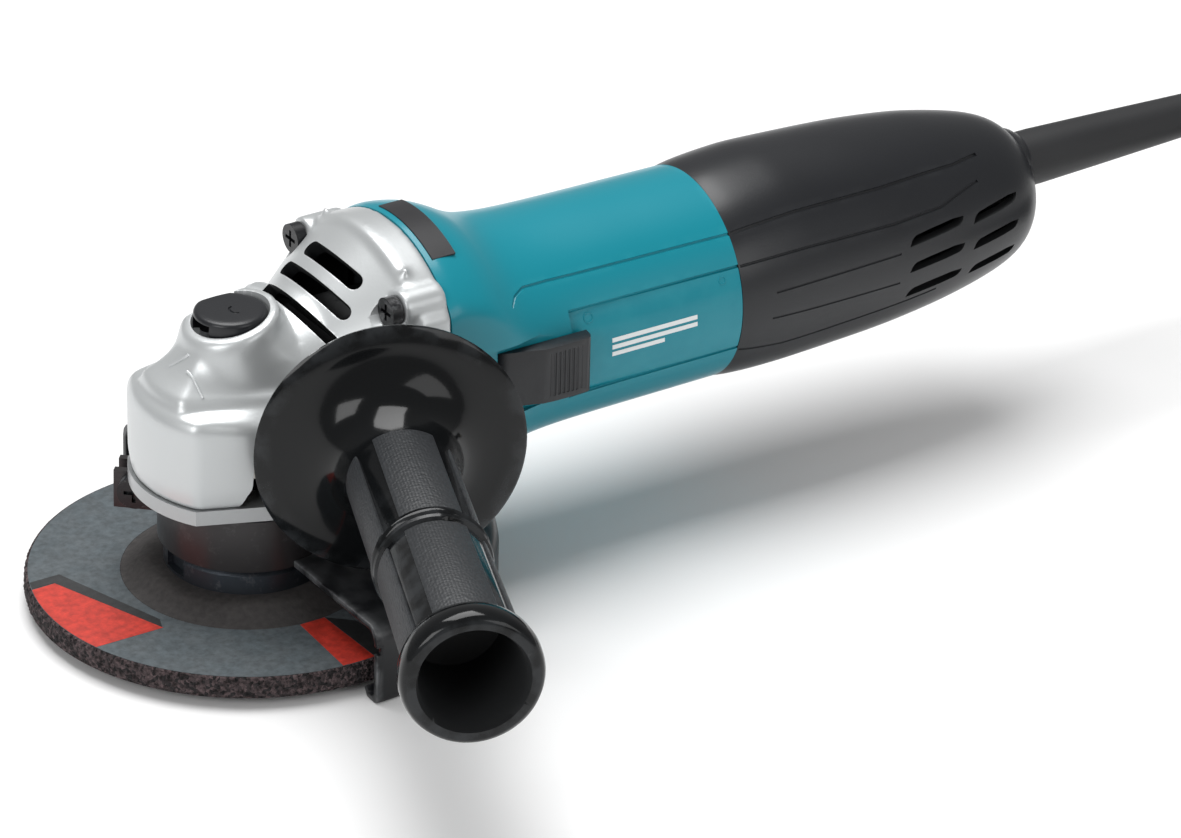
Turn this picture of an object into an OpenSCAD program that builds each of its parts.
// Small electric angle grinder with a side handle, a wheel guard and its supply cord.
// Millimetres. Z runs up the wheel spindle, and the spindle's lower end face is the origin.
// X runs back from the spindle along the motor, and the side handle points towards -Y.

/* [Wheel] */
// Outer diameter of the grinding wheel
wheel_d = 115; // [100:1:115]
// Thickness of the grinding wheel
wheel_t = 6; // [4:0.5:6]
// Diameter of the mounting hole in the wheel
wheel_bore_d = 22.2; // [22:0.1:22.6]
// How far the wheel's centre is raised above its upper face
hub_rise = 4; // [3:0.5:4]

/* [Spindle] */
// Nominal diameter of the spindle's thread
spindle_d = 14; // [12:1:14]
// Height of the wheel's upper face above the spindle's end
wheel_top_z = 8.7; // [8.5:0.1:9]
// Diameter of the inner flange
flange_d = 43; // [40:1:43]
// Thickness of the inner flange
flange_t = 6.2; // [5:0.1:6.2]

/* [Motor] */
// Height of the motor's axis above the spindle's end
axis_z = 60; // [60:1:62]
// Length from the spindle's axis to the tail of the rear cover
tail_x = 240; // [238:1:245]
// Where the gear housing meets the motor housing
head_x = 42; // [42:1:43]
// Where the motor housing meets the rear cover
seam_x = 132; // [130:1:134]

/* [Gears] */
// Teeth on the crown gear
gear_teeth = 37; // [37]
// Teeth on the pinion
pinion_teeth = 11; // [11]
// Size of the teeth, as pitch diameter per tooth at the outer end
tooth_module = 1.3; // [1.2:0.05:1.3]

/* [Guard] */
// Radius of the wheel guard
guard_r = 64.5; // [62:0.5:65]
// Thickness of the guard's sheet
guard_t = 1.8; // [1.5:0.1:2]
// Height of the guard's top plate above the spindle's end
guard_top_z = 21.8; // [21.5:0.1:22]
// Angle that the guard covers
guard_angle = 180; // [170:1:185]

/* [Side handle] */
// How far the handle leans forward from square to the motor
handle_lean = 21.5; // [18:0.5:23]
// Distance from the motor's axis to the handle's hand flange
handle_flange_at = 43.5; // [43:0.5:44]
// Diameter of the hand flange
handle_flange_d = 70; // [60:1:70]
// Distance from the motor's axis to the end of the handle
handle_end_at = 162.5; // [150:0.5:165]
// Diameter of the ring at the handle's end
handle_ring_d = 36; // [34:1:37]

/* [Controls] */
// Travel of the spindle lock button
lock_travel = 5; // [4:0.5:5]
// Travel of the switch knob
switch_travel = 6; // [4:1:6]

/* [Cord] */
// Diameter of the supply cord
cord_d = 7.5; // [7:0.5:7.5]
// Mean diameter of the coil that the spare cord is wound into
coil_d = 90; // [88:1:90]
// Turns of cord that lie side by side in the coil's lower layer
coil_turns = 5; // [5]

/* [Hidden] */
$fn = 96;

// Running clearance on the radius between a shaft and its hole
fit = 0.05;
// Height of the wheel's seat, where its raised centre meets the inner flange
seat_z = wheel_top_z + hub_rise;
// Top of the inner flange, and the spindle's shoulder above it
shoulder_z = seat_z + flange_t;

// Bevel gears: both pitch cones have their tip where the two axes cross
gear_r = gear_teeth * tooth_module / 2;
pinion_r = pinion_teeth * tooth_module / 2;
pinion_cone = atan(pinion_r / gear_r);
gear_cone = 90 - pinion_cone;
cone_length = gear_r / sin(gear_cone);
face_length = 7;
face_scale = (cone_length - face_length) / cone_length;
tooth_above = 0.8 * tooth_module;
tooth_below = 1.25 * tooth_module;
tooth_half = 0.19 * PI * tooth_module;
flank = tan(20);

// Gear housing levels
box_top_z = 40;
wall_top_z = 62;
deck_z = 70;
nose_r = 30.5;
lip_z = 82.5;
chamber_r = 25.3;
chamber_top_z = 66;
// Straight part of the chamber's wall, above the box; its roof narrows from there
chamber_wall = 18;
button_x = -5;
pin_x = -11;
pin_r = 2.5;
// Its lower end clears the gear's teeth until the button is pressed
pin_tip_z = 53.7;
head_half_w = 30.5;
underside_z = 29;
// The head's skirt starts here, behind the bearing box
skirt_x = 28.6;

// Side handle: its line crosses the motor's axis this far behind the spindle
handle_x = 33.9;
handle_z = 57.8;
stud_r = 4;
boss_at = 37.5;

// Screws that hold the gear housing to the motor housing
head_screw_x = 26.5;
head_screw_y = 23.6;
head_screw_dz = 26.1;
head_screw_length = 20;

// Motor, along X
motor_r = 28.4;
// The knob's seat starts here, ahead of the knob's foremost place
knob_seat_x = 50.5;
motor_wall_r = 25.7;
core_x = [70, 110];
stator_r = 25.5;
stator_flat = 23;
rear_bearing_x = 139;
brush_x = 124.4;
clamp_angle = 138;
exit_z = 65.5;
guard_end_x = 300;

// Route of the loose cord, from the cord guard's end to the coil
CORD_ROUTE = [
    [300.1, 0, 65.5], [308, 0, 65.5], [316, 0, 64.3], [324, 0, 61.2], [331, 0, 56.6], [337, 0, 51],
    [342, 0, 44.5], [346, 0, 37.5], [350, 0, 30.5], [354, 0, 24], [359, 0, 18], [365, -0.1, 12.5],
    [372, -0.3, 8.2], [380, -0.7, 5.4], [388, -1.3, 4.1], [396, -2, 3.8]
];
cord_r = cord_d / 2;
coil_at = [396, -62];
coil_half = coil_turns * cord_d / 2;
coil_top = 2 * cord_d;
plug_y = coil_at[1] - coil_d / 2 - cord_d;
plug_z = 13;
plug_back_x = 351;

module from_spindle(z) translate([0, 0, z]) children();

module on_motor(x) translate([x, 0, axis_z]) rotate([0, 90, 0]) children();

module on_handle(at) {
    translate([handle_x, 0, handle_z])
        rotate([0, 0, -handle_lean]) rotate([90, 0, 0]) translate([0, 0, at]) children();
}

module at_clamp() {
    rotate([0, 0, clamp_angle]) translate([28, 0, 31.2]) rotate([-90, 0, 0]) children();
}

module ring(outer, inner, height) {
    difference() {
        cylinder(r = outer, h = height);
        translate([0, 0, -1]) cylinder(r = inner, h = height + 2);
    }
}

// A pan-head screw, head up, its shank pointing down from the origin
module screw(shank_r, length, head_r, head_h) {
    translate([0, 0, -length]) cylinder(r = shank_r, h = length);
    difference() {
        cylinder(r = head_r, h = head_h);
        for (turn = [0, 90]) rotate([0, 0, turn])
            translate([-head_r * 0.6, -0.5, head_h - 1.2]) cube([head_r * 1.2, 1, 2]);
    }
}

// A shielded ball bearing, standing on the origin
module ball_bearing(bore_r, outer, width) {
    rotate_extrude() polygon([
        [bore_r, 0], [bore_r + 1.6, 0], [bore_r + 1.9, 0.6], [outer - 2.3, 0.6], [outer - 2, 0],
        [outer, 0], [outer, width], [outer - 2, width], [outer - 2.3, width - 0.6],
        [bore_r + 1.9, width - 0.6], [bore_r + 1.6, width], [bore_r, width]
    ]);
}

// One bevel tooth with its root on the pitch cone's line, pointing to the cone's tip
module bevel_tooth(cone) {
    far = [cone_length * sin(cone), -cone_length * cos(cone)];
    out = [cos(cone), sin(cone)];
    high = tooth_half - tooth_above * flank;
    low = tooth_half + (tooth_below + 0.3) * flank;
    face = [
        [far[0] + out[0] * tooth_above, -high, far[1] + out[1] * tooth_above],
        [far[0] + out[0] * tooth_above, high, far[1] + out[1] * tooth_above],
        [far[0] - out[0] * (tooth_below + 0.3), low, far[1] - out[1] * (tooth_below + 0.3)],
        [far[0] - out[0] * (tooth_below + 0.3), -low, far[1] - out[1] * (tooth_below + 0.3)]
    ];
    polyhedron(
        points = concat(face, face_scale * face),
        faces = [[0, 1, 2, 3], [7, 6, 5, 4], [0, 4, 5, 1], [1, 5, 6, 2], [2, 6, 7, 3], [3, 7, 4, 0]]
    );
}

function unit(v) = v / norm(v);

// Rings of points round a route, each turned from the last without twist
function route_way(p, i) = unit(p[min(i + 1, len(p) - 1)] - p[max(i - 1, 0)]);
function ring_points(p, r, sides, side_way) = [
    for (i = [0 : len(p) - 1])
        let (way = route_way(p, i), u = unit(cross(side_way, way)), v = cross(way, u))
            for (k = [0 : sides - 1])
                p[i] + r * (cos(360 * k / sides) * u + sin(360 * k / sides) * v)
];

// A tube of one radius along a route of points, closed at both ends
module tube(p, r, sides, side_way) {
    last = len(p) - 1;
    polyhedron(
        points = ring_points(p, r, sides, side_way),
        faces = concat(
            [[for (k = [0 : sides - 1]) k]],
            [[for (k = [sides - 1 : -1 : 0]) last * sides + k]],
            [for (i = [0 : last - 1]) for (k = [0 : sides - 1]) let (next = (k + 1) % sides)
                [i * sides + k, (i + 1) * sides + k, (i + 1) * sides + next, i * sides + next]]
        )
    );
}

// ---------------------------------------------------------------- gear head

// Plan of the head: a round nose cut by two faces that stand square to the side handles
module head_plan() {
    intersection() {
        union() {
            circle(r = nose_r);
            translate([0, -34]) square([head_x - 4, 68]);
        }
        polygon([
            [-40, -11.5], [10, -31], [head_x, -head_half_w], [head_x, head_half_w], [10, 31], [-40, 11.5]
        ]);
    }
}

// Everything inside this slot of space is part of the head or the motor's front
module waist() {
    translate([-60, -head_half_w, underside_z]) cube([260, 2 * head_half_w, 100]);
}

module side_boss(side) {
    translate([handle_x, 0, handle_z]) rotate([0, 0, side * handle_lean]) rotate([-side * 90, 0, 0])
        translate([0, 0, 18]) cylinder(r = 12, h = boss_at - 18);
}

module head_shape() {
    translate([0, 0, box_top_z]) linear_extrude(wall_top_z - box_top_z) head_plan();
    hull() {
        translate([0, 0, wall_top_z - 0.1]) linear_extrude(0.1) head_plan($fn = 32);
        translate([0, 0, deck_z - 1]) linear_extrude(0.5) offset(delta = -7) head_plan($fn = 32);
    }
    hull() {
        translate([0, 0, deck_z - 4]) linear_extrude(0.5) offset(delta = -8) head_plan($fn = 32);
        translate([button_x, 0, deck_z + 2]) cylinder(r = 14, h = 0.5, $fn = 32);
    }
    translate([button_x, 0, deck_z]) cylinder(r1 = 14, r2 = 12.5, h = lip_z - deck_z);
    // rise of the deck behind the button, up to the slanted face
    difference() {
        on_motor(-4) cylinder(r1 = 16, r2 = 24.3, h = 18);
        translate([-60, -60, -1]) cube([120, 120, wall_top_z + 1]);
    }
    intersection() {
        union() {
            on_motor(8) cylinder(r1 = 20, r2 = 38.5, h = 26);
            on_motor(34) cylinder(r = 38.5, h = head_x - 34);
        }
        difference() {
            waist();
            translate([-60, -60, 0]) cube([60 + skirt_x, 120, box_top_z]);
        }
    }
    side_boss(1);
    side_boss(-1);
}

module head_hollow() {
    from_spindle(box_top_z - 1) cylinder(r = chamber_r, h = 1 + chamber_wall);
    from_spindle(box_top_z + chamber_wall - 0.1)
        cylinder(r1 = chamber_r, r2 = 19, h = chamber_top_z - box_top_z - chamber_wall + 0.1);
    difference() {
        on_motor(13) cylinder(r1 = 19, r2 = 35, h = head_x - 12);
        on_motor(10) cylinder(r = 19, h = 28);
        from_spindle(30) cylinder(r = chamber_r + 2.5, h = 40);
        translate([-60, -60, -1]) cube([200, 120, underside_z + 4]);
        translate([-60, -60, -1]) cube([63 + skirt_x, 120, box_top_z + 4]);
        for (side = [-1, 1]) translate([-60, side * 30 - 10, 0]) cube([200, 20, 120]);
        for (side = [-1, 1]) for (up = [-1, 1])
            translate([0, side * head_screw_y, axis_z + up * head_screw_dz])
                rotate([0, 90, 0]) cylinder(r = 4, h = 60);
    }
}

module gear_housing() {
    color("silver") difference() {
        head_shape();
        head_hollow();
        // pinion's tunnel and the seat of the front bearing
        on_motor(11) cylinder(r = 9, h = 18);
        on_motor(27) cylinder(r = 15 + fit, h = head_x);
        // needle bearing that steadies the spindle's upper end
        from_spindle(chamber_top_z - 1) cylinder(r = 6 + fit, h = 8);
        // cup and guide of the lock button
        translate([button_x, 0, 73.5]) cylinder(r = 10, h = 10);
        translate([pin_x, 0, 60]) cylinder(r = pin_r + fit, h = 20);
        // outlets of the cooling air
        for (row = [0 : 2]) translate([16 + 5.5 * row, 0, 0])
            for (part = [-1, 1]) translate([0, part * (row == 0 ? 13 : 0), 74])
                linear_extrude(30) air_slot(row == 0 ? 8 : 34, 3.2);
        for (side = [-1, 1]) for (up = [-1, 1])
            translate([0, side * head_screw_y, axis_z + up * head_screw_dz]) rotate([0, 90, 0]) {
                translate([0, 0, -20]) cylinder(r = 4.2, h = 20 + head_screw_x + 3);
                cylinder(r = 2 + fit, h = 60);
            }
        // threaded sockets for the side handle, one on each side
        for (side = [-1, 1])
            translate([handle_x, 0, handle_z]) rotate([0, 0, side * handle_lean])
                rotate([-side * 90, 0, 0]) translate([0, 0, boss_at - 14]) cylinder(r = stud_r, h = 20);
        // tapped holes for the bearing box's screws
        box_screw_places() translate([0, 0, box_top_z - 1]) cylinder(r = 1.75 + fit, h = 9);
    }
}

module air_slot(length, width) {
    for (end = [-1, 1]) translate([0, end * (length - width) / 2]) circle(d = width, $fn = 24);
    square([width, length - width], center = true);
}

module gear_housing_screws() {
    color("dimgray") for (side = [-1, 1]) for (up = [-1, 1])
        translate([head_screw_x + 3, side * head_screw_y, axis_z + up * head_screw_dz])
            rotate([0, -90, 0]) screw(2, head_screw_length, 3.9, 3);
}

module lock_button() {
    color("#26282b") difference() {
        translate([button_x, 0, 78.5]) intersection() {
            union() {
                cylinder(r = 9.6, h = 6);
                translate([0, 0, 6]) cylinder(r1 = 9.6, r2 = 9, h = 0.6);
            }
            translate([-20, -20, 0]) cube([40, 27.5, 10]);
        }
        translate([pin_x, 0, 70]) cylinder(r = pin_r + 0.4, h = 11);
    }
}

module lock_pin() {
    color("lightsteelblue") translate([pin_x, 0, pin_tip_z]) {
        cylinder(r = pin_r, h = 80.9 - pin_tip_z);
        translate([0, 0, -0.5]) cylinder(r1 = pin_r - 0.5, r2 = pin_r, h = 0.5);
    }
}

module lock_spring() {
    turns = 3.5;
    steps = 12;
    low = 74.1;
    rise = 3.8;
    route = [for (i = [0 : turns * steps]) let (a = 360 * i / steps)
        [pin_x + 3.6 * cos(a), 3.6 * sin(a), low + rise * i / (turns * steps)]];
    color("gainsboro") tube(route, 0.4, 6, [0, 0, 1]);
}

module top_needle_bearing() {
    color("gainsboro") from_spindle(chamber_top_z - 0.9) ring(6, 4 + fit, 7.8);
}

// ---------------------------------------------------------------- spindle and wheel

module spindle() {
    color("lightsteelblue") difference() {
        union() {
            cylinder(r1 = spindle_d / 2 - 1, r2 = spindle_d / 2, h = 1);
            from_spindle(1) cylinder(r = spindle_d / 2, h = shoulder_z - 1);
            from_spindle(shoulder_z) cylinder(r = 9.5, h = 4.2);
            from_spindle(shoulder_z + 4.2) cylinder(r = 6, h = 54 - shoulder_z - 4.2);
            from_spindle(54) cylinder(r = 4, h = 17.5);
        }
        translate([-7, -1.5, 41]) cube([3, 3, 8]);
    }
}

module spindle_key() {
    color("silver") translate([-6.9, -1.45, 41.1]) cube([2.8, 2.9, 7.8]);
}

module crown_gear() {
    tip = [0, axis_z];
    root_far = [gear_r - tooth_below * cos(gear_cone), axis_z - pinion_r - tooth_below * sin(gear_cone)];
    root_near = tip + face_scale * (root_far - tip);
    color("slategray") {
        difference() {
            union() {
                rotate_extrude() polygon([
                    [6 + fit, 40.8], [9, 40.8], [9, 44], [15, 44], [17, 45], [root_far[0], 47.5],
                    root_far, root_near, [root_near[0] - 0.6, 50], [9, 50], [9, 52.5], [6 + fit, 52.5]
                ]);
                translate([0, 0, axis_z]) for (i = [0 : gear_teeth - 1])
                    rotate([0, 0, 360 * i / gear_teeth]) bevel_tooth(gear_cone);
            }
            for (turn = [0 : 90 : 270]) rotate([0, 0, turn])
                translate([pin_x, 0, 40]) cylinder(r = pin_r + 0.5, h = 14);
            translate([-7, -1.5, 40]) cube([3, 3, 14]);
        }
    }
}

module gear_circlip() {
    color("gainsboro") from_spindle(52.6) difference() {
        ring(8, 6 + fit, 1);
        translate([0, -1.5, -1]) cube([10, 3, 4]);
    }
}

module spindle_bearing() {
    color("gainsboro") from_spindle(25) ball_bearing(6 + fit, 16, 10);
}

module box_screw_places() {
    for (place = [[-19.3, 16.2], [-19.3, -16.2], [22.5, 19], [22.5, -19]])
        translate([place[0], place[1], 0]) children();
}

module bearing_box() {
    color("darkgray") difference() {
        union() {
            translate([0, 0, 36]) linear_extrude(box_top_z - 36) intersection() {
                head_plan();
                translate([-40, -26]) square([39.8 + skirt_x, 52]);
            }
            from_spindle(23.5) cylinder(r = 20.8, h = 13);
        }
        from_spindle(25) cylinder(r = 16 + fit, h = 16);
        from_spindle(22) cylinder(r = 12, h = 10);
        box_screw_places() {
            translate([0, 0, 30]) cylinder(r = 1.75 + fit, h = 20);
            translate([0, 0, 30]) cylinder(r = 2.8, h = 8.4);
        }
        for (side = [-1, 1]) translate([0, side * head_screw_y, axis_z - head_screw_dz])
            rotate([0, 90, 0]) cylinder(r = 4.4, h = 40);
    }
}

module bearing_box_screws() {
    color("dimgray") box_screw_places()
        translate([0, 0, 38.35]) mirror([0, 0, 1]) screw(1.75, 8, 2.7, 2.2);
}

module dust_ring() {
    color("lightgray") from_spindle(shoulder_z + 0.7) ring(18.5, 10.2, 23.4 - shoulder_z - 0.7);
}

module inner_flange() {
    color("slategray") difference() {
        union() {
            from_spindle(seat_z) cylinder(r = flange_d / 2, h = flange_t - 1.2);
            from_spindle(shoulder_z - 1.2) cylinder(r1 = flange_d / 2, r2 = flange_d / 2 - 1.2, h = 1.2);
            from_spindle(seat_z - 2.6) cylinder(r = wheel_bore_d / 2 - fit, h = 3);
        }
        from_spindle(seat_z - 4) cylinder(r = spindle_d / 2 + fit, h = 20);
        for (side = [-1, 1]) translate([side * flange_d / 2 - 2, -4, seat_z + 1]) cube([4, 8, 10]);
    }
}

module grinding_wheel() {
    r = wheel_d / 2;
    low = wheel_top_z - wheel_t;
    color("#5b5552") rotate_extrude() polygon([
        [wheel_bore_d / 2, seat_z - wheel_t], [21, seat_z - wheel_t], [27, low], [r - 0.6, low],
        [r, low + 0.6], [r, wheel_top_z - 0.6], [r - 0.6, wheel_top_z], [31, wheel_top_z],
        [24, seat_z], [wheel_bore_d / 2, seat_z]
    ]);
}

module lock_nut() {
    color("#3a3c40") from_spindle(1) difference() {
        union() {
            cylinder(r = 19.5, h = seat_z - wheel_t - 1);
            cylinder(r = wheel_bore_d / 2 - fit, h = seat_z - wheel_t + 2);
        }
        translate([0, 0, -1]) cylinder(r = spindle_d / 2 + fit, h = 20);
        for (turn = [0, 180]) rotate([0, 0, turn]) translate([15, 0, -1]) cylinder(r = 2.2, h = 5);
    }
}

// ---------------------------------------------------------------- guard

// The part of space that the guard covers
module guard_sector(height) {
    rotate([0, 0, -guard_angle / 2]) rotate_extrude(angle = guard_angle) square([80, height]);
}

module wheel_guard() {
    color("#2e2f31") rotate([0, 0, -guard_angle / 2]) rotate_extrude(angle = guard_angle) polygon([
        [23.2, guard_top_z - guard_t], [guard_r - 4, guard_top_z - guard_t],
        [guard_r - guard_t, guard_top_z - guard_t - 2.2], [guard_r - guard_t, 1.8],
        [guard_r - 4.6, 1.8], [guard_r - 5.6, 3.2], [guard_r - 6.4, 2.4], [guard_r - 5, 0],
        [guard_r - 1, 0], [guard_r, 1], [guard_r, guard_top_z - 3], [guard_r - 3, guard_top_z],
        [23.2, guard_top_z]
    ]);
}

module guard_collar() {
    color("#242527") difference() {
        union() {
            from_spindle(guard_top_z - guard_t) cylinder(r = 23.1, h = 14.4);
            rotate([0, 0, clamp_angle]) for (side = [-1, 1])
                translate([21.5, side * 3.2 - 1, 25]) cube([12.5, 2, 10.6]);
        }
        from_spindle(15) cylinder(r = 20.85, h = 30);
        rotate([0, 0, clamp_angle]) translate([10, -2.2, 10]) cube([13.5, 4.4, 40]);
        at_clamp() translate([0, 0, -20]) cylinder(r = 2.6, h = 40);
    }
}

module guard_clamp_screw() {
    color("#3c3d40") at_clamp() translate([0, 0, 4.25]) screw(2.5, 14, 4.4, 3.4);
}

module guard_clamp_nut() {
    color("#3c3d40") at_clamp() translate([0, 0, -8.3]) difference() {
        rotate([0, 0, 30]) cylinder(r = 4.4, h = 4, $fn = 6);
        translate([0, 0, -1]) cylinder(r = 2.5 + fit, h = 6);
    }
}

// ---------------------------------------------------------------- side handle

module side_handle_grip() {
    rim = handle_flange_d / 2;
    foot = handle_flange_at;
    ring_r = handle_ring_d / 2;
    end = handle_end_at;
    color("#1d1e20") on_handle(0) difference() {
        rotate_extrude() polygon([
            [0, boss_at + 0.1], [12, boss_at + 0.1], [14, foot - 3], [rim - 1, foot - 1.2], [rim, foot],
            [rim - 1, foot + 1], [22, foot + 3.5], [15.5, foot + 7], [13.4, foot + 12],
            [13.2, foot + 17], [14.1, foot + 20], [14.3, foot + 57], [14.9, foot + 59],
            [14.9, foot + 63], [14.5, foot + 65], [15.8, end - 11], [ring_r - 1.2, end - 8.5],
            [ring_r, end - 6], [ring_r, end - 2], [ring_r - 1.6, end], [13.7, end], [13.2, end - 30],
            [0, end - 30]
        ]);
        translate([0, 0, boss_at - 1]) cylinder(r = stud_r + fit, h = 26);
    }
}

module side_handle_stud() {
    color("silver") on_handle(boss_at - 12) cylinder(r = stud_r - fit, h = 36);
}

// ---------------------------------------------------------------- motor

module motor_housing() {
    color("#0f8fa3") difference() {
        union() {
            intersection() {
                on_motor(0) rotate_extrude() polygon([
                    [0, head_x], [38.5, head_x], [38.8, 46], [38, 52], [36, 57], [33.2, 61.5],
                    [31, 66], [30, 71], [29, 80], [28.7, 95], [motor_r, seam_x], [0, seam_x]
                ]);
                waist();
            }
            on_motor(seam_x - 0.1) cylinder(r = motor_wall_r, h = 18.1);
        }
        // fan room, then the stator's room, then the rear bearing's room
        on_motor(head_x - 1) cylinder(r = 27.5, h = 18);
        on_motor(head_x + 16) cylinder(r = motor_wall_r, h = seam_x - head_x - 18);
        on_motor(seam_x - 3) cylinder(r = 23.4, h = 18);
        on_motor(rear_bearing_x - 1) cylinder(r = 12.6 + fit, h = 10);
        on_motor(seam_x + 10) cylinder(r = 8, h = 20);
        for (turn = [45 : 90 : 315]) on_motor(seam_x + 10) rotate([0, 0, turn])
            translate([18, 0, 0]) cylinder(r = 3.4, h = 20);
        // seat of the switch knob, its slot, and the way of its rod
        translate([knob_seat_x, -40, 50.5]) cube([92 - knob_seat_x, 40 - 28.3, 20]);
        translate([62, -30, 57]) cube([18, 6, 6]);
        translate([seam_x - 4, -30, 56.5]) cube([24, 7.5, 7]);
        for (side = [-1, 1]) for (up = [-1, 1])
            translate([head_x - 1, side * head_screw_y, axis_z + up * head_screw_dz])
                rotate([0, 90, 0]) cylinder(r = 2 + fit, h = head_screw_length - 9);
    }
    color("#0f8fa3") difference() {
        on_motor(rear_bearing_x - 0.5) cylinder(r = 24, h = 11.4);
        on_motor(rear_bearing_x - 1) cylinder(r = 12.6 + fit, h = 8.2);
        on_motor(rear_bearing_x + 5) cylinder(r = 8, h = 20);
        for (turn = [45 : 90 : 315]) on_motor(rear_bearing_x - 1) rotate([0, 0, turn])
            translate([18, 0, 0]) cylinder(r = 3.4, h = 20);
        translate([seam_x - 4, -30, 56.5]) cube([24, 7.5, 7]);
    }
}

module fan_baffle() {
    color("#2b2d30") on_motor(59) rotate_extrude() polygon([
        [25.5, 0], [25.5, 2], [20, 2], [17, 0.4], [17, -0.8], [18, -0.8], [20.5, 0.4]
    ]);
}

module cooling_fan() {
    color("#35383b") on_motor(44) {
        ring(9, 4 + fit, 12);
        difference() {
            translate([0, 0, 1]) cylinder(r = 26, h = 1.6);
            translate([0, 0, -1]) cylinder(r = 8.5, h = 16);
        }
        difference() {
            for (turn = [0 : 30 : 330]) rotate([0, 0, turn])
                translate([8, -0.7, 1.5]) rotate([0, 0, 12]) cube([17, 1.4, 10]);
            translate([0, 0, -1]) cylinder(r = 8.5, h = 16);
        }
    }
}

module armature_shaft() {
    color("lightsteelblue") {
        on_motor(10.5) cylinder(r = 3.5, h = 17);
        on_motor(27.4) cylinder(r = 5, h = 9.4);
        on_motor(36.7) cylinder(r = 4, h = rear_bearing_x + 7.2 - 36.7);
    }
}

module armature_core() {
    color("gray") on_motor(core_x[0]) difference() {
        cylinder(r = 16.6, h = core_x[1] - core_x[0]);
        translate([0, 0, -1]) cylinder(r = 4 + fit, h = 60);
        for (turn = [0 : 30 : 330]) rotate([0, 0, turn]) translate([12.5, -0.8, -1]) cube([6, 1.6, 60]);
    }
}

module armature_winding() {
    color("#b06a34") for (end = [core_x[0] - 8.1, core_x[1] + 0.1]) on_motor(end)
        rotate_extrude() polygon([[4.2, 0], [10, 0], [13.5, 2.5], [14.5, 5], [13.5, 8], [4.2, 8]]);
}

module commutator() {
    color("#c07a45") on_motor(120) difference() {
        ring(10.5, 4 + fit, 15);
        for (turn = [0 : 15 : 345]) rotate([0, 0, turn]) translate([9.6, -0.25, -1]) cube([2, 0.5, 14]);
    }
}

module pinion() {
    root = [cone_length * sin(pinion_cone) - tooth_below * cos(pinion_cone),
        cone_length * cos(pinion_cone) + tooth_below * sin(pinion_cone)];
    color("slategray") difference() {
        union() {
            on_motor(0) rotate_extrude() polygon([
                [0, root[1] * face_scale], [root[0] * face_scale, root[1] * face_scale], root,
                [5.4, root[1] + 0.2], [5.4, 27.3], [0, 27.3]
            ]);
            translate([0, 0, axis_z]) for (i = [0 : pinion_teeth - 1])
                rotate([360 * i / pinion_teeth, 0, 0]) rotate([0, 270, 0])
                    bevel_tooth(pinion_cone);
        }
        on_motor(5) cylinder(r = 3.5 + fit, h = 40);
    }
}

module pinion_nut() {
    color("gainsboro") on_motor(12.5) difference() {
        cylinder(r = 5, h = 4.6, $fn = 6);
        translate([0, 0, -1]) cylinder(r = 3.5 + fit, h = 8);
    }
}

module front_bearing() {
    color("gainsboro") on_motor(27.6) ball_bearing(5 + fit, 15, 9);
}

module rear_bearing() {
    color("gainsboro") on_motor(rear_bearing_x) ball_bearing(4 + fit, 11, 7);
}

module bearing_sleeve() {
    color("#202124") on_motor(rear_bearing_x) ring(12.6, 11 + fit, 7);
}

module stator_core() {
    color("gray") on_motor(core_x[0]) difference() {
        intersection() {
            cylinder(r = stator_r, h = core_x[1] - core_x[0]);
            translate([-30, -stator_flat, -1]) cube([60, 2 * stator_flat, 60]);
        }
        translate([0, 0, -1]) cylinder(r = 17.2, h = 60);
        for (side = [-1, 1]) translate([-9, side * 20 - 2.2, -1]) cube([18, 4.4, 60]);
        for (turn = [0, 180]) rotate([0, 0, turn]) translate([22.6, 0, -1]) cylinder(r = 1.8, h = 60);
    }
}

module stator_coils() {
    color("#b4602c") for (end = [core_x[0] - 6.2, core_x[1] + 0.2]) for (side = [-1, 1])
        on_motor(end) intersection() {
            ring(23, 17.4, 6);
            translate([-14, side > 0 ? 8 : -28, -1]) cube([28, 20, 10]);
        }
}

module stator_screws() {
    color("gainsboro") for (up = [-1, 1]) translate([core_x[0] - 0.1, 0, axis_z + up * 22.6])
        rotate([0, -90, 0]) screw(1.7, 48, 3, 2);
}

module brush_holders() {
    color("goldenrod") for (up = [-1, 1]) translate([brush_x, 0, axis_z]) rotate([up > 0 ? 0 : 180, 0, 0])
        translate([0, 0, 11.4]) difference() {
            translate([-4.5, -4, 0]) cube([9, 8, 13.4]);
            translate([-3.3, -2.8, -1]) cube([6.6, 5.6, 16]);
        }
}

module carbon_brushes() {
    color("#2c2c2e") for (up = [-1, 1]) translate([brush_x, 0, axis_z]) rotate([up > 0 ? 0 : 180, 0, 0])
        translate([-3.2, -2.7, 10.55]) cube([6.4, 5.4, 9]);
}

module brush_springs() {
    turns = 3;
    steps = 12;
    color("silver") for (up = [-1, 1]) translate([brush_x, 0, axis_z]) rotate([up > 0 ? 0 : 180, 0, 0])
        tube([for (i = [0 : turns * steps]) let (a = 360 * i / steps)
            [2 * cos(a), 2 * sin(a), 20.1 + 4 * i / (turns * steps)]], 0.4, 8, [0, 0, 1]);
}

// ---------------------------------------------------------------- switch

module switch_knob() {
    color("#1f2123") difference() {
        union() {
            translate([0, 0, 53]) linear_extrude(15.5) polygon([
                [57, -28.6], [58, -29.4], [66, -31.8], [69, -33.2], [81, -33.2], [83, -32], [83.6, -28.6]
            ]);
            translate([69, -28.7, 57.5]) cube([8, 3.2, 5]);
        }
        for (i = [0 : 3]) translate([72 + 2.4 * i, -34, 55]) cube([1.1, 1.4, 11.5]);
    }
}

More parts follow.
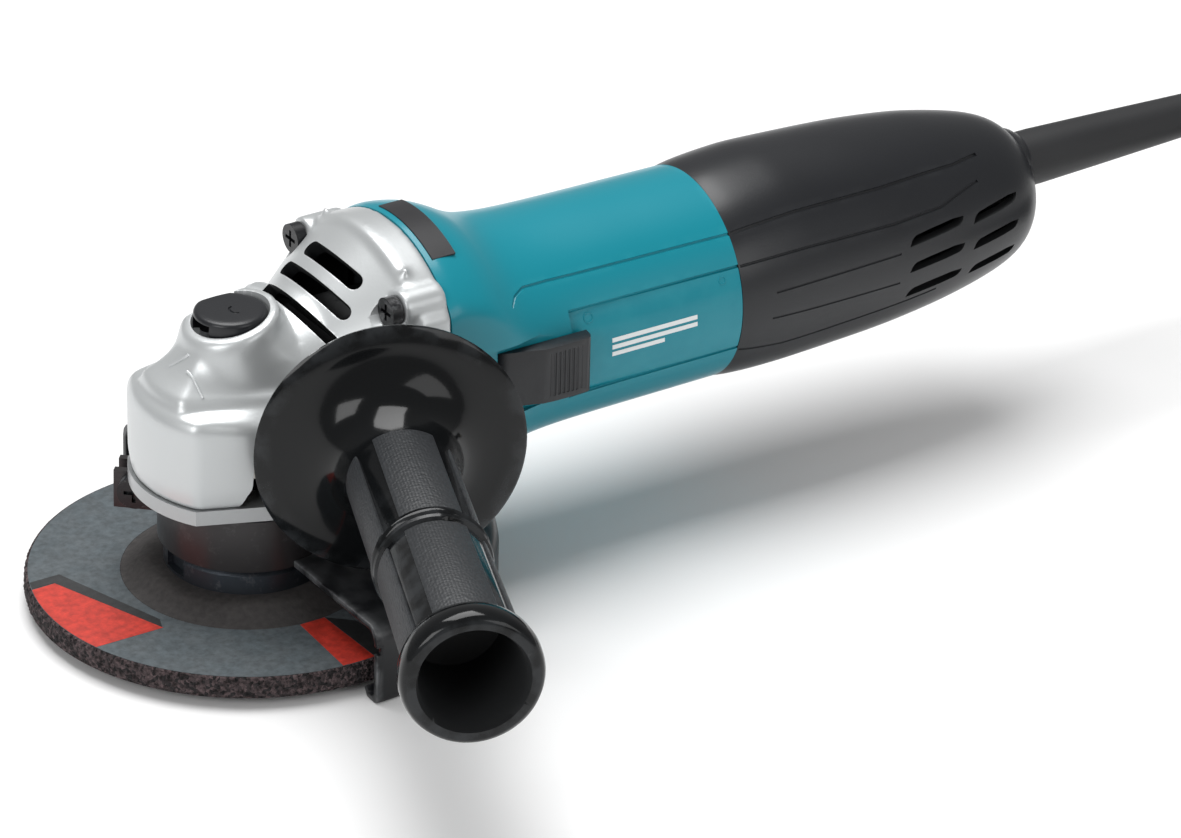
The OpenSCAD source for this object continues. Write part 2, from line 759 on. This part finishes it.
module switch_rod() {
    color("#303236") {
        translate([68, -25.4, 57.6]) cube([98, 2, 4.8]);
        translate([70, -25.5, 58.4]) cube([6, 2, 3.2]);
    }
}

module switch_slider() {
    color("ivory") translate([162, -23.3, 57.2]) cube([5, 2.1, 5.6]);
}

module switch_body() {
    color("#3a3d42") difference() {
        translate([152, -21.1, 51]) cube([30, 20, 18]);
        translate([150, -22, 60]) rotate([0, 90, 0]) cylinder(r = 1.6, h = 6);
    }
}

// ---------------------------------------------------------------- rear cover and cord

function cover_profile(inset) = [
    [28.4 - inset, seam_x + 0.1], [29 - inset, 139], [29.2 - inset, 150], [28.6 - inset, 165],
    [27.9 - inset, 182], [26.8 - inset, 194], [25.2 - inset, 205], [23.2 - inset, 217],
    [21 - inset, 226], [18.6 - inset, 232.5], [15.4 - inset, 237], [11.5 - inset, tail_x - 0.5]
];

module rear_cover() {
    color("#2a2b2e") difference() {
        union() {
            on_motor(0) rotate_extrude() polygon(concat(
                [[0, seam_x + 0.1]], cover_profile(0), [[8, tail_x], [0, tail_x]]
            ));
            translate([226, 0, exit_z]) rotate([0, 90, 0]) cylinder(r1 = 11.5, r2 = 10, h = tail_x - 226);
        }
        on_motor(0) rotate_extrude() polygon(concat(
            [[0, seam_x - 1], [25.9, seam_x - 1], [25.9, 152]],
            [for (p = cover_profile(2.6)) if (p[1] > 152 && p[1] < 236) p], [[0, 236]]
        ));
        translate([220, 0, exit_z]) rotate([0, 90, 0]) cylinder(r = 7.6 + fit, h = 30);
        // inlets of the cooling air, three rows of two on each side
        for (side = [-1, 1]) for (row = [5.8, -1.6, -9.8]) for (col = [0, 1])
            translate([185 + 22 * col, side > 0 ? 10 : -40, axis_z + row])
                rotate([90, 0, 0]) mirror([0, 0, 1]) linear_extrude(30)
                    polygon([[0, -1.4], [16 - 2 * col, 1.6], [18 - 2 * col, 4.3], [2, 1.3]]);
        translate([160, 0, 20]) cylinder(r = 2 + fit, h = 20);
        translate([160, 0, 20]) cylinder(r = 3.8, h = 13);
    }
}

module rear_cover_screw() {
    color("dimgray") translate([160, 0, 32.9]) mirror([0, 0, 1]) screw(2, 14, 3.5, 1.8);
}

module cord_guard() {
    color("#232427") difference() {
        union() {
            translate([227, 0, exit_z]) rotate([0, 90, 0]) cylinder(r = 9, h = 4);
            translate([230.9, 0, exit_z]) rotate([0, 90, 0]) cylinder(r = 7.6, h = 10.2);
            translate([241, 0, exit_z]) rotate([0, 90, 0])
                cylinder(r1 = 7.6, r2 = 5.2, h = guard_end_x - 241);
        }
        translate([220, 0, exit_z]) rotate([0, 90, 0]) cylinder(r = cord_r + fit, h = 90);
    }
}

module inner_cord() {
    color("#1c1d1f") translate([206, 0, exit_z]) rotate([0, 90, 0]) cylinder(r = cord_r, h = guard_end_x - 206);
}

module cord_clamp() {
    color("#33363a") difference() {
        translate([212, -11, exit_z + 0.6]) cube([8, 22, 5.4]);
        translate([200, 0, exit_z]) rotate([0, 90, 0]) cylinder(r = cord_r + fit, h = 40);
        for (side = [-1, 1]) translate([216, side * 7.5, 50]) cylinder(r = 1.6 + fit, h = 30);
    }
}

module cord_clamp_screws() {
    color("dimgray") for (side = [-1, 1])
        translate([216, side * 7.5, exit_z + 6]) screw(1.6, 12, 2.8, 1.6);
}

module lead_wires() {
    for (side = [-1, 1]) color(side > 0 ? "royalblue" : "saddlebrown")
        tube([[205.9, side * 1.8, exit_z], [204, side * 1.8, exit_z], [200, side * 2, exit_z - 0.5],
            [193, side * 2 - 4, 62], [187, side * 2 - 9, 60], [184, side * 2 - 10, 60],
            [182.1, side * 2 - 10, 60]], 1.1, 8, [0, 0, 1]);
}

module cord() {
    color("#1c1d1f") tube(CORD_ROUTE, cord_r, 10, [0, 1, 0]);
}

// Half the outline of the coil's two layers, grown by a gap; the upper layer is a turn narrower
function coil_outline(gap) = [
    [coil_d / 2 - coil_half - gap, 2], [coil_d / 2 - coil_half + 2, 0], [coil_d / 2 + coil_half - 2, 0],
    [coil_d / 2 + coil_half + gap, 2], [coil_d / 2 + coil_half + gap, cord_d],
    [coil_d / 2 + coil_half - cord_d + gap, coil_top + gap], [coil_d / 2 - coil_half - gap, coil_top + gap]
];

module cord_coil() {
    color("#1c1d1f") translate([coil_at[0], coil_at[1], 0]) rotate_extrude() polygon(coil_outline(0));
}

module cord_tie() {
    color("#101012") translate([coil_at[0], coil_at[1] - 4, 0]) rotate([90, 0, 0]) mirror([0, 0, 1])
        linear_extrude(8) difference() {
            polygon(coil_outline(1));
            polygon(coil_outline(0.1));
        }
}

module plug_body() {
    color("#1b1c1e") translate([plug_back_x, plug_y, plug_z]) rotate([0, -90, 0]) {
        translate([0, 0, -25]) cylinder(r1 = 4.4, r2 = 6.2, h = 25.1);
        cylinder(r1 = 6.2, r2 = 12, h = 10);
        translate([0, 0, 9.9]) intersection() {
            cylinder(r = 18, h = 28.1);
            translate([-13, -20, -1]) cube([26, 40, 40]);
        }
    }
}

module plug_pins() {
    color("silver") for (side = [-1, 1]) translate([plug_back_x - 38.1, plug_y + side * 9.5, plug_z])
        rotate([0, -90, 0]) {
            cylinder(r = 2.4, h = 18);
            translate([0, 0, 18]) cylinder(r1 = 2.4, r2 = 1.4, h = 1);
        }
}

gear_housing();
gear_housing_screws();
lock_button();
lock_pin();
lock_spring();
top_needle_bearing();
spindle();
spindle_key();
crown_gear();
gear_circlip();
spindle_bearing();
bearing_box();
bearing_box_screws();
dust_ring();
inner_flange();
grinding_wheel();
lock_nut();
wheel_guard();
guard_collar();
guard_clamp_screw();
guard_clamp_nut();
side_handle_grip();
side_handle_stud();
motor_housing();
fan_baffle();
cooling_fan();
armature_shaft();
armature_core();
armature_winding();
commutator();
pinion();
pinion_nut();
front_bearing();
rear_bearing();
bearing_sleeve();
stator_core();
stator_coils();
stator_screws();
brush_holders();
carbon_brushes();
brush_springs();
switch_knob();
switch_rod();
switch_slider();
switch_body();
rear_cover();
rear_cover_screw();
cord_guard();
inner_cord();
cord_clamp();
cord_clamp_screws();
lead_wires();
cord();
cord_coil();
cord_tie();
plug_body();
plug_pins();
